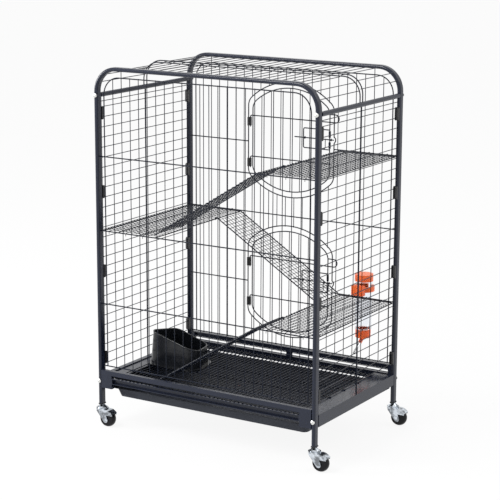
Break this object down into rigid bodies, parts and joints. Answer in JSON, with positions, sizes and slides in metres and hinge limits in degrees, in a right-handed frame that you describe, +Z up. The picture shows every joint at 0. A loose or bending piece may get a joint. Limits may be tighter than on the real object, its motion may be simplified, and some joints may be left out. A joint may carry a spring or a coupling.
{
  "type": "small animal cage",
  "caption": "Tall wire small animal cage on casters with shelves, mesh ramps, hinged doors, slide-out tray and grate, food bowl and water bottle.",
  "frame": {"origin": "centre of the cage between its four posts, on the floor the casters stand on", "axes": "+Z up, +X to the right seen from the tray's open side, +Y towards the doors at the rear"},
  "size_m": [0.68, 0.4845, 0.923],
  "materials": {
    "black_coat": "satin powder coat",
    "caster_chrome": "polished",
    "bolt_zinc": "bright zinc",
    "black_plastic": "matte",
    "tray_plastic": "satin",
    "bowl_plastic": "glossy",
    "wheel_plastic": "semi-gloss",
    "orange_plastic": "semi-gloss",
    "clear_plastic": "clear",
    "sipper_steel": "polished"
  },
  "bodies": {
    "cage": {"front_arch_frame": "black_coat", "rear_arch_frame": "black_coat", "left_top_crossbar": "black_coat", "right_top_crossbar": "black_coat", "front_base_frame": "black_coat", "rear_base_frame": "black_coat", "left_base_rail": "black_coat", "right_base_rail": "black_coat", "front_panel": "black_coat", "rear_panel": "black_coat", "left_side_panel": "black_coat", "right_side_panel": "black_coat", "roof_panel": "black_coat", "left_panel_clips": "black_plastic", "right_panel_clips": "black_plastic", "frame_bolts": "bolt_zinc", "leg_end_inserts": "black_plastic", "door_hinge_sleeves": "black_plastic", "caster_stems": "caster_chrome", "left_shelf": "black_coat", "right_upper_shelf": "black_coat", "right_lower_shelf": "black_coat", "bottle_holder": "orange_plastic"},
    "tray": {"tray": "tray_plastic"},
    "floor_grate": {"floor_grate": "black_coat"},
    "upper_door": {"upper_door_frame": "black_coat", "upper_door_bars": "black_coat", "upper_latch_guide": "black_coat"},
    "upper_bolt": {"upper_latch_bolt": "black_coat"},
    "lower_door": {"lower_door_frame": "black_coat", "lower_door_bars": "black_coat", "lower_latch_guide": "black_coat"},
    "lower_bolt": {"lower_latch_bolt": "black_coat"},
    "upper_ramp": {"upper_ramp": "black_coat"},
    "middle_ramp": {"middle_ramp": "black_coat"},
    "lower_ramp": {"lower_ramp": "black_coat"},
    "food_bowl": {"food_bowl": "bowl_plastic"},
    "water_bottle": {"bottle_body": "clear_plastic", "bottle_cap": "orange_plastic", "bottle_top_cap": "orange_plastic", "sipper_tube": "sipper_steel"},
    "front_left_caster": {"front_left_fork": "caster_chrome", "front_left_axle": "caster_chrome"},
    "front_left_wheel": {"front_left_wheel": "wheel_plastic"},
    "front_right_caster": {"front_right_fork": "caster_chrome", "front_right_axle": "caster_chrome"},
    "front_right_wheel": {"front_right_wheel": "wheel_plastic"},
    "rear_left_caster": {"rear_left_fork": "caster_chrome", "rear_left_axle": "caster_chrome"},
    "rear_left_wheel": {"rear_left_wheel": "wheel_plastic"},
    "rear_right_caster": {"rear_right_fork": "caster_chrome", "rear_right_axle": "caster_chrome"},
    "rear_right_wheel": {"rear_right_wheel": "wheel_plastic"}
  },
  "joints": [
    {"name": "tray_slide", "type": "slide", "parent": "cage", "child": "tray", "axis": [0, -1, 0], "range_m": [0, 0.36]},
    {"name": "grate_slide", "type": "slide", "parent": "cage", "child": "floor_grate", "axis": [0, -1, 0], "range_m": [0, 0.34]},
    {"name": "upper_door_hinge", "type": "hinge", "parent": "cage", "child": "upper_door", "pos_m": [-0.1239, 0.20742, 0.711], "axis": [0, 0, 1], "range_deg": [0, 160]},
    {"name": "upper_bolt_slide", "type": "slide", "parent": "upper_door", "child": "upper_bolt", "axis": [1, 0, 0], "range_m": [0, 0.012]},
    {"name": "lower_door_hinge", "type": "hinge", "parent": "cage", "child": "lower_door", "pos_m": [-0.1239, 0.20742, 0.335], "axis": [0, 0, 1], "range_deg": [0, 160]},
    {"name": "lower_bolt_slide", "type": "slide", "parent": "lower_door", "child": "lower_bolt", "axis": [1, 0, 0], "range_m": [0, 0.012]},
    {"name": "upper_ramp_hinge", "type": "hinge", "parent": "cage", "child": "upper_ramp", "pos_m": [0.1485, -0.1375, 0.69758], "axis": [0, 1, 0], "range_deg": [0, 32]},
    {"name": "middle_ramp_hinge", "type": "hinge", "parent": "cage", "child": "middle_ramp", "pos_m": [-0.1485, 0.1375, 0.50958], "axis": [0, -1, 0], "range_deg": [0, 32]},
    {"name": "lower_ramp_hinge", "type": "hinge", "parent": "cage", "child": "lower_ramp", "pos_m": [0.1485, -0.1375, 0.32158], "axis": [0, 1, 0], "range_deg": [0, 32]},
    {"name": "bowl_lift", "type": "slide", "parent": "cage", "child": "food_bowl", "axis": [0, 0, 1], "range_m": [0, 0.1]},
    {"name": "bottle_lift", "type": "slide", "parent": "cage", "child": "water_bottle", "axis": [0, 0, 1], "range_m": [0, 0.1]},
    {"name": "front_left_swivel", "type": "hinge", "parent": "cage", "child": "front_left_caster", "pos_m": [-0.3125, -0.204, 0.05], "axis": [0, 0, 1], "continuous": true},
    {"name": "front_left_roll", "type": "hinge", "parent": "front_left_caster", "child": "front_left_wheel", "pos_m": [-0.2945, -0.204, 0.0215], "axis": [0, 1, 0], "continuous": true},
    {"name": "front_right_swivel", "type": "hinge", "parent": "cage", "child": "front_right_caster", "pos_m": [0.3125, -0.204, 0.05], "axis": [0, 0, 1], "continuous": true},
    {"name": "front_right_roll", "type": "hinge", "parent": "front_right_caster", "child": "front_right_wheel", "pos_m": [0.3305, -0.204, 0.0215], "axis": [0, 1, 0], "continuous": true},
    {"name": "rear_left_swivel", "type": "hinge", "parent": "cage", "child": "rear_left_caster", "pos_m": [-0.3125, 0.204, 0.05], "axis": [0, 0, 1], "continuous": true},
    {"name": "rear_left_roll", "type": "hinge", "parent": "rear_left_caster", "child": "rear_left_wheel", "pos_m": [-0.2945, 0.204, 0.0215], "axis": [0, 1, 0], "continuous": true},
    {"name": "rear_right_swivel", "type": "hinge", "parent": "cage", "child": "rear_right_caster", "pos_m": [0.3125, 0.204, 0.05], "axis": [0, 0, 1], "continuous": true},
    {"name": "rear_right_roll", "type": "hinge", "parent": "rear_right_caster", "child": "rear_right_wheel", "pos_m": [0.3305, 0.204, 0.0215], "axis": [0, 1, 0], "continuous": true}
  ]
}
